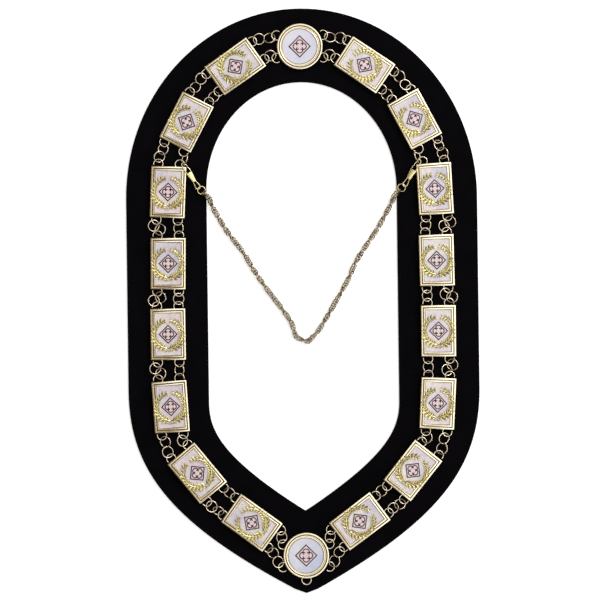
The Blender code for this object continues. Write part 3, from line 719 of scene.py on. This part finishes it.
PLAQUE_DEVICE = 0.0106
MEDALLION_DEVICE = 0.0124
# A lobe's radius, as a share of the lozenge's reach
LOBE_SHARE = 0.29
LINE_WIDTH = 0.0012
LINE_TOP = ENAMEL_TOP + 0.00005
GROUND_TOP = ENAMEL_TOP + 0.00002
LINE_FOOT = ENAMEL_TOP - 0.0004


def lozenge(bm, reach, line):
    """A square ring of flat line, its corners on the two axes."""
    made = bmesh.ops.create_circle(
        bm, cap_ends=True, radius=reach, segments=4,
        matrix=Matrix.Translation((0, 0, LINE_TOP)),
    )["verts"]
    face = made[0].link_faces[0]
    bmesh.ops.inset_individual(bm, faces=[face], thickness=line, use_even_offset=True)
    bmesh.ops.delete(bm, geom=[face], context="FACES_ONLY")


def foils(bm, reach, line):
    """Four arcs of flat line, each round a lobe, that meet between the lobes."""
    lobe = reach * LOBE_SHARE
    for quarter in range(4):
        turn = quarter * pi / 2
        centre = Vector((lobe * cos(turn), lobe * sin(turn), LINE_TOP))
        start = Vector((cos(turn - 0.75 * pi), sin(turn - 0.75 * pi), 0))
        pair = [bm.verts.new(centre + start * (lobe + shift)) for shift in (-line / 2, line / 2)]
        edge = bm.edges.new(pair)
        bmesh.ops.spin(
            bm, geom=pair + [edge], cent=centre, axis=(0, 0, 1), angle=1.5 * pi, steps=20
        )


def thicken(bm):
    """Gives flat shapes their depth."""
    bmesh.ops.remove_doubles(bm, verts=bm.verts, dist=0.00001)
    bmesh.ops.recalc_face_normals(bm, faces=bm.faces)
    for face in bm.faces:
        if face.normal.z < 0:
            face.normal_flip()
    extrude(bm, bm.faces[:], LINE_FOOT - LINE_TOP)
    bmesh.ops.recalc_face_normals(bm, faces=bm.faces)


device_lines, device_grounds = bmesh.new(), bmesh.new()
for reach, places in ((PLAQUE_DEVICE, plaque_places), (MEDALLION_DEVICE, medallion_places)):
    lines = bmesh.new()
    lozenge(lines, reach, LINE_WIDTH)
    foils(lines, reach, LINE_WIDTH)
    thicken(lines)
    ground = bmesh.new()
    bmesh.ops.create_circle(
        ground, cap_ends=True, radius=reach - LINE_WIDTH / 2, segments=4,
        matrix=Matrix.Translation((0, 0, GROUND_TOP)),
    )
    thicken(ground)
    copies(lines, places, device_lines)
    copies(ground, places, device_grounds)

# Violet enamel: dark and glossy, thinner and paler in places where the white shines through.
violet_enamel, tree, shader = new_material("violet_enamel_line")
spot = add(tree, "ShaderNodeTexCoord").outputs["Object"]
patchy = add(tree, "ShaderNodeTexNoise", Vector=spot, Scale=160.0, Detail=2.0)
ink = add(
    tree, "ShaderNodeMix", {"data_type": "RGBA"},
    Factor=patchy.outputs["Fac"], _6=linear("#1d0f22"), _7=linear("#3d2845"),
)
tree.links.new(ink.outputs[2], shader.inputs["Base Color"])
shader.inputs["Roughness"].default_value = 0.2
shader.inputs["IOR"].default_value = 1.52
new_piece("device_lines", device_lines, violet_enamel)

# Rose enamel: a thin warm wash, clouded where it was brushed on unevenly
rose_enamel, tree, shader = new_material("rose_vitreous_enamel")
spot = add(tree, "ShaderNodeTexCoord").outputs["Object"]
wash = add(tree, "ShaderNodeTexNoise", Vector=spot, Scale=120.0, Detail=2.0)
rose = add(
    tree, "ShaderNodeMix", {"data_type": "RGBA"},
    Factor=wash.outputs["Fac"], _6=linear("#e6c9da"), _7=linear("#f2e2d8"),
)
tree.links.new(rose.outputs[2], shader.inputs["Base Color"])
shader.inputs["Roughness"].default_value = 0.16
shader.inputs["IOR"].default_value = 1.52
new_piece("device_grounds", device_grounds, rose_enamel)

# The rings: short lengths of round brass wire, bent into rings, closed and gold plated. The inner
# strand has one in each gap, and the outer strand two that hold each other.

RING_RADIUS = 0.0061
RING_WIRE = 0.0011
# Between two linked rings' middles, this far either way, a point may be on either ring
SHARED_REACH = 0.002
REFITS = 8


def corner_points(node):
    """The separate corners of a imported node's mesh."""
    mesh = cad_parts[node].data
    points = np.array([vert.co for vert in mesh.vertices])
    return np.unique(np.round(points, 7), axis=0)


def fitted(points):
    """Centre and axis of the ring that runs through these points."""
    middle = points.mean(axis=0)
    _, _, ways = np.linalg.svd(points - middle)
    flat = (points - middle) @ ways[:2].T
    rows = np.column_stack([2 * flat, np.ones(len(flat))])
    x, y, _ = np.linalg.lstsq(rows, (flat**2).sum(axis=1), rcond=None)[0]
    return middle + x * ways[0] + y * ways[1], ways[2]


def off_ring(points, centre, axis):
    """How far points lie from a ring's middle line."""
    away = points - centre
    up = away @ axis
    out = np.linalg.norm(away - up[:, None] * axis, axis=1)
    return np.hypot(up, out - RING_RADIUS)


def rings_of(points, count):
    """The rings, one or two, that make up a node."""
    if count == 1:
        return [fitted(points)]
    centred = points - points.mean(axis=0)
    longest = np.linalg.svd(centred)[2][0]
    along = centred @ longest
    pair = [fitted(points[along < -SHARED_REACH]), fitted(points[along > SHARED_REACH])]
    for _ in range(REFITS):
        apart = np.array([off_ring(points, *ring) for ring in pair])
        own = apart.argmin(axis=0)
        sure = apart.min(axis=0) < RING_WIRE
        pair = [fitted(points[(own == i) & sure]) for i in range(2)]
    return pair


ring_nodes = [
    (f"{strand}_{side}_{i}", count)
    for strand, count in (("ring_inner", 1), ("rings_outer", 2))
    for side in ("left", "right")
    for i in range(1, 10)
]
ring_metal = bmesh.new()
for node, count in ring_nodes:
    for centre, axis in rings_of(corner_points(node), count):
        axis = Vector(axis)
        out = axis.orthogonal().normalized()
        wire_arc(
            ring_metal, Vector(centre), out, axis.cross(out), RING_RADIUS, RING_WIRE, steps=36
        )

# Gold plate on drawn wire: smooth and bright, a little pinker than the plates where the thin
# plating has worn, with fine lines along the wire.
ring_gold, tree, shader = new_material("gold_plate_on_drawn_wire")
spot = add(tree, "ShaderNodeTexCoord").outputs["Object"]
worn = add(tree, "ShaderNodeTexNoise", Vector=spot, Scale=130.0, Detail=3.0)
scuff = add(tree, "ShaderNodeTexNoise", Vector=spot, Scale=1100.0, Detail=2.0)
tone = add(
    tree, "ShaderNodeMix", {"data_type": "RGBA"},
    Factor=worn.outputs["Fac"], _6=linear("#f7ead0"), _7=linear("#eed5c0"),
)
dull = add(
    tree, "ShaderNodeMapRange", Value=scuff.outputs["Fac"],
    From_Min=0.3, From_Max=0.7, To_Min=0.14, To_Max=0.3,
)
tree.links.new(tone.outputs[2], shader.inputs["Base Color"])
tree.links.new(dull.outputs["Result"], shader.inputs["Roughness"])
shader.inputs["Metallic"].default_value = 1
strand_rings = new_piece("strand_rings", ring_metal, ring_gold)
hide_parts(*[node for node, _ in ring_nodes])

# The snap hooks: a slim body folded from gilt brass sheet over the ends of two bent wires. One is
# the hook's nose, which holds the inner strand's ring, and the other the tail eye. A closed ring
# through the eye holds the safety chain.

NOSE_SPOT = Vector((0.1301, 0.1536, 0.0102))
SNAP_TURN = 31
SNAP_SLOPE = 7.5
SNAP_WIRE = 0.0011
BODY_TOP = 0.0135
BODY_FOOT = BODY_TOP + 0.0113
BODY_TOP_HALF = 0.0035
BODY_FOOT_HALF = 0.0021
BODY_THICKNESS = 0.0016
FOLD_ROUND = 0.0007
MOUTH_HALF = 0.0026
NOSE_TIP_Y = -MOUTH_HALF * 0.85
BEND_STEP = 0.0006
CURVE_STEPS = 20
EYE_FOOT = BODY_FOOT + 0.0100 - SNAP_WIRE / 2
EYE_HALF = 0.0031 - SNAP_WIRE / 2
END_RING_RADIUS = 0.0042
END_RING_TURN = radians(24)
END_RING_BEARS = 0.65 * SNAP_WIRE


def snap_place(hand):
    """A snap hook's own frame: Y to its nose, and its gate on the side away from the hand."""
    turn = Matrix.Rotation(radians(-hand * SNAP_TURN), 4, "Z")
    slope = Matrix.Rotation(radians(SNAP_SLOPE), 4, "X")
    return Matrix.Translation((hand * NOSE_SPOT.x, NOSE_SPOT.y, NOSE_SPOT.z)) @ turn @ slope


def smooth_line(points, step):
    """Points at an even step along a smooth line through the given ones."""
    points = np.array(points)
    padded = np.vstack([2 * points[0] - points[1], points, 2 * points[-1] - points[-2]])
    t = np.linspace(0, 1, CURVE_STEPS, endpoint=False)[:, None]
    fine = [
        (2 * b + (c - a) * t + (2 * a - 5 * b + 4 * c - d) * t**2 + (3 * b - a - 3 * c + d) * t**3) / 2
        for a, b, c, d in zip(padded, padded[1:], padded[2:], padded[3:])
    ]
    fine = np.vstack([*fine, points[-1:]])
    run = np.concatenate([[0], np.cumsum(np.linalg.norm(np.diff(fine, axis=0), axis=1))])
    places = np.linspace(0, run[-1], round(run[-1] / step) + 1)
    return np.array([np.interp(places, run, column) for column in fine.T]).T


def wire_along(bm, points, wire, closed=False, sides=10):
    """Round wire along a line of points, with a dome on each open end."""
    points = [Vector(point) for point in points]
    ways = []
    for i, point in enumerate(points):
        before = points[i - 1] if closed or i else point
        after = points[(i + 1) % len(points)] if closed or i < len(points) - 1 else point
        ways.append((after - before).normalized())
    turn = Vector((0, 0, 1)).rotation_difference(ways[0]).to_matrix()
    rows = []
    for before, way, point in zip([ways[0], *ways], ways, points):
        turn = before.rotation_difference(way).to_matrix() @ turn
        place = Matrix.Translation(point) @ turn.to_4x4()
        made = bmesh.ops.create_circle(bm, radius=wire / 2, segments=sides, matrix=place)
        rows.append(made["verts"])
    for row, other in zip(rows, rows[1:] + rows[:1] if closed else rows[1:]):
        for j in range(sides):
            bm.faces.new((row[j - 1], row[j], other[j], other[j - 1]))
    if not closed:
        close_ends(bm, (points[0], points[-1]), wire, sides, rows=6)
    bmesh.ops.recalc_face_normals(bm, faces=bm.faces)


def end_ring(hand):
    """The end ring's centre and the way to it from the eye, in the snap hook's frame."""
    away = Vector((-hand * sin(END_RING_TURN), -cos(END_RING_TURN), 0))
    return Vector((0, SNAP_WIRE / 2 - EYE_FOOT, 0)) + away * (END_RING_RADIUS - END_RING_BEARS), away


snap_metal = bmesh.new()
for hand in (-1, 1):
    shape = bmesh.new()
    rows = (
        (-BODY_TOP_HALF, -BODY_TOP), (BODY_TOP_HALF, -BODY_TOP),
        (BODY_FOOT_HALF, -BODY_FOOT), (-BODY_FOOT_HALF, -BODY_FOOT),
    )
    face = shape.faces.new([shape.verts.new((x, y, -BODY_THICKNESS / 2)) for x, y in rows])
    extrude(shape, [face], BODY_THICKNESS)
    bmesh.ops.recalc_face_normals(shape, faces=shape.faces)
    # The folds are along the body's slanting sides
    half_way = (BODY_FOOT - BODY_TOP) / 2
    folds = [e for e in shape.edges if abs((e.verts[0].co - e.verts[1].co).y) > half_way]
    bmesh.ops.bevel(
        shape, geom=folds, offset=FOLD_ROUND, offset_type="OFFSET", segments=5, profile=0.5,
        affect="EDGES", material=-1, clamp_overlap=True,
    )
    radius = SNAP_WIRE / 2
    nose = (
        (-MOUTH_HALF, -BODY_TOP - SNAP_WIRE), (-MOUTH_HALF, -BODY_TOP + SNAP_WIRE),
        (-MOUTH_HALF, -MOUTH_HALF - radius), (-MOUTH_HALF * 0.75, -MOUTH_HALF * 0.5),
        (0, -radius), (MOUTH_HALF * 0.6, -MOUTH_HALF * 0.4), (MOUTH_HALF * 0.75, NOSE_TIP_Y),
    )
    inner = BODY_FOOT_HALF - radius
    eye = (
        (-inner, -BODY_FOOT + SNAP_WIRE), (-inner, -BODY_FOOT - radius),
        (-EYE_HALF, -EYE_FOOT + EYE_HALF), (-EYE_HALF * 0.6, -EYE_FOOT + EYE_HALF * 0.2),
        (0, -EYE_FOOT), (EYE_HALF * 0.6, -EYE_FOOT + EYE_HALF * 0.2),
        (EYE_HALF, -EYE_FOOT + EYE_HALF), (inner, -BODY_FOOT - radius),
        (inner, -BODY_FOOT + SNAP_WIRE),
    )
    for line in (nose, eye):
        path = smooth_line([(-hand * x, y, 0) for x, y in line], BEND_STEP)
        wire_along(shape, path, SNAP_WIRE, sides=12)
    centre, away = end_ring(hand)
    wire_arc(shape, centre, away, Vector((0, 0, 1)).cross(away), END_RING_RADIUS, SNAP_WIRE)
    copies(shape, [snap_place(hand)], snap_metal)

# Gold plate on rolled brass: pale and brushed along the sheet, duller than the rings
brushed_gold, tree, shader = new_material("gold_plate_on_rolled_brass")
spot = add(tree, "ShaderNodeTexCoord").outputs["Object"]
patch = add(tree, "ShaderNodeTexNoise", Vector=spot, Scale=210.0, Detail=3.0)
hair = add(tree, "ShaderNodeTexNoise", Vector=spot, Scale=1500.0, Detail=2.0)
tone = add(
    tree, "ShaderNodeMix", {"data_type": "RGBA"},
    Factor=patch.outputs["Fac"], _6=linear("#e2d094"), _7=linear("#f6edc2"),
)
lines = add(tree, "ShaderNodeBump", Height=hair.outputs["Fac"], Strength=0.2, Distance=0.0002)
tree.links.new(tone.outputs[2], shader.inputs["Base Color"])
tree.links.new(lines.outputs["Normal"], shader.inputs["Normal"])
shader.inputs["Metallic"].default_value = 1
shader.inputs["Roughness"].default_value = 0.24
snaps = new_piece("snap_hooks", snap_metal, brushed_gold)
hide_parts("snap_hook_left", "snap_hook_right")

# The gates: a thin spring wire from the body's mouth to the nose, with a step where it is pressed
# open. Each is held by the body at its root, and swings inward.

GATE_WIRE = 0.0009
GATE_STEP = 0.0008
GATE_GAP = 0.0003
root_y = -BODY_TOP + GATE_GAP
tip_y = NOSE_TIP_Y - SNAP_WIRE / 2 - GATE_WIRE / 2 - GATE_GAP
step_y = (root_y + tip_y) / 2
gate_line = (
    (MOUTH_HALF, root_y + GATE_WIRE / 2), (MOUTH_HALF, step_y - GATE_STEP),
    (MOUTH_HALF - GATE_STEP, step_y), (MOUTH_HALF - GATE_STEP * 0.4, step_y + GATE_STEP),
    (MOUTH_HALF * 0.55, tip_y),
)
# Gold plate on spring steel: bright, with a cooler cast
spring_gold, tree, shader = new_material("gold_plate_on_spring_wire")
spot = add(tree, "ShaderNodeTexCoord").outputs["Object"]
thin = add(tree, "ShaderNodeTexNoise", Vector=spot, Scale=500.0, Detail=2.0)
tone = add(
    tree, "ShaderNodeMix", {"data_type": "RGBA"},
    Factor=thin.outputs["Fac"], _6=linear("#ddcfa2"), _7=linear("#f2ecd0"),
)
tree.links.new(tone.outputs[2], shader.inputs["Base Color"])
shader.inputs["Metallic"].default_value = 1
shader.inputs["Roughness"].default_value = 0.2
for side, hand in (("left", -1), ("right", 1)):
    bm = bmesh.new()
    path = [snap_place(hand) @ Vector((-hand * x, y, 0)) for x, y in gate_line]
    wire_along(bm, path, GATE_WIRE)
    gate = new_piece(f"spring_gate_{side}", bm, spring_gold, body=f"gate_{side}")
    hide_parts(f"gate_{side}")

# The safety chain: a fine curb chain of round wire links, each bent so that its neighbours lie flat
# against it. It's twisted along its length, so it looks broad and narrow by turns. It hangs from
# the two end rings, drops over the collar's edge, and lies across the neck opening on the table.

CHAIN_AXIS = 0.0027
# Where it crosses the velvet's edge, how far in from there, how high over it, and where it starts
CHAIN_EDGE_Y = 0.1128
CHAIN_INSET = 0.0038
CHAIN_OVER_VELVET = 0.0003
CHAIN_PAST_RING = 0.0008
LINK_WIRE = 0.0013
LINK_HALF_LENGTH = 0.0023
LINK_HALF_WIDTH = 0.0027
LINK_BEND = radians(80)
LINK_PITCH = 0.0029
# From the table to a link's middle where it lies flat, and how much more where it stands on edge
LINK_REST = 0.0025
LINK_RISE = 0.0011
# One full twist, and how unevenly it comes: in radians, and how many changes to the metre
TWIST_LENGTH = 0.034
TWIST_WANDER = 3.5
WANDERS_PER_METRE = 24
CHAIN_SWAY = 0.0004
# How much it keeps to its flat side, and how far neighbouring links lean apart
FLAT_SHARE = 0.44
LINK_LEAN = radians(11)
# Where its line runs over the table: x as a share of the neck's half width, and y
CHAIN_ROUTE = (
    (-0.941, 0.1055), (-0.797, 0.0790), (-0.620, 0.0541), (-0.511, 0.0345), (-0.376, 0.0135),
    (-0.219, -0.0087), (-0.120, -0.0245), (-0.078, -0.0385), (-0.011, -0.0428), (0.049, -0.0446),
    (0.110, -0.0388), (0.189, -0.0287), (0.315, -0.0069), (0.479, 0.0228), (0.569, 0.0433),
    (0.734, 0.0691), (0.798, 0.0790), (0.941, 0.1055),
)


def chain_end(hand):
    """From inside the end ring, over its wire and the velvet's edge."""
    height = VELVET_THICKNESS + CHAIN_OVER_VELVET + CHAIN_AXIS
    over = Vector((hand * (NECK_HALF_WIDTH - CHAIN_INSET), CHAIN_EDGE_Y, height))
    centre = snap_place(hand) @ end_ring(hand)[0]
    return [centre + (over - centre).normalized() * (END_RING_RADIUS + CHAIN_PAST_RING), over]


laid = [(share * NECK_HALF_WIDTH, y, CHAIN_AXIS) for share, y in CHAIN_ROUTE]
line = smooth_line([*chain_end(-1), *laid, *reversed(chain_end(1))], LINK_PITCH)
link = bmesh.new()
oval = []
for turn in np.linspace(0, tau, 15)[:-1]:
    bend = LINK_BEND * cos(turn)
    wide = LINK_HALF_WIDTH * sin(turn)
    oval.append((LINK_HALF_LENGTH * cos(turn), wide * cos(bend), wide * sin(bend)))
wire_along(link, oval, LINK_WIRE, closed=True, sides=6)
link_places = []
for i, spot in enumerate(line):
    ahead = Vector(line[min(i + 1, len(line) - 1)] - line[max(i - 1, 0)]).normalized()
    side = Vector((0, 0, 1)).cross(ahead).normalized()
    stand = Matrix((ahead, side, ahead.cross(side))).transposed().to_4x4()
    wander = TWIST_WANDER * noise.noise(Vector(spot) * WANDERS_PER_METRE)
    twist = tau * i * LINK_PITCH / TWIST_LENGTH + wander
    roll = twist - FLAT_SHARE * sin(2 * twist) + (LINK_LEAN if i % 2 else -LINK_LEAN)
    lift = Vector((0, 0, LINK_REST + LINK_RISE * sin(roll) ** 2 - CHAIN_AXIS))
    sway = side * (CHAIN_SWAY * noise.noise(Vector((i * 0.7, 0, 5))))
    link_places.append(
        Matrix.Translation(Vector(spot) + lift + sway) @ stand @ Matrix.Rotation(roll, 4, "X")
    )
chain_metal = copies(link, link_places)

# Dull gilt: the chain's thin gold has rubbed to a grey brown brass, in patches of a link or so
dull_gilt, tree, shader = new_material("worn_gilt_brass_wire")
spot = add(tree, "ShaderNodeTexCoord").outputs["Object"]
rubbed = add(tree, "ShaderNodeTexNoise", Vector=spot, Scale=460.0, Detail=3.0)
patch = add(
    tree, "ShaderNodeMapRange",
    Value=rubbed.outputs["Fac"], From_Min=0.42, From_Max=0.58, To_Min=0.0, To_Max=1.0,
)
tone = add(
    tree, "ShaderNodeMix", {"data_type": "RGBA"},
    Factor=patch.outputs["Result"], _6=linear("#483b2d"), _7=linear("#dccdaa"),
)
tree.links.new(tone.outputs[2], shader.inputs["Base Color"])
shader.inputs["Metallic"].default_value = 1
shader.inputs["Roughness"].default_value = 0.34
chain = new_piece("safety_chain_links", chain_metal, dull_gilt, angle=60)
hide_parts("safety_chain")
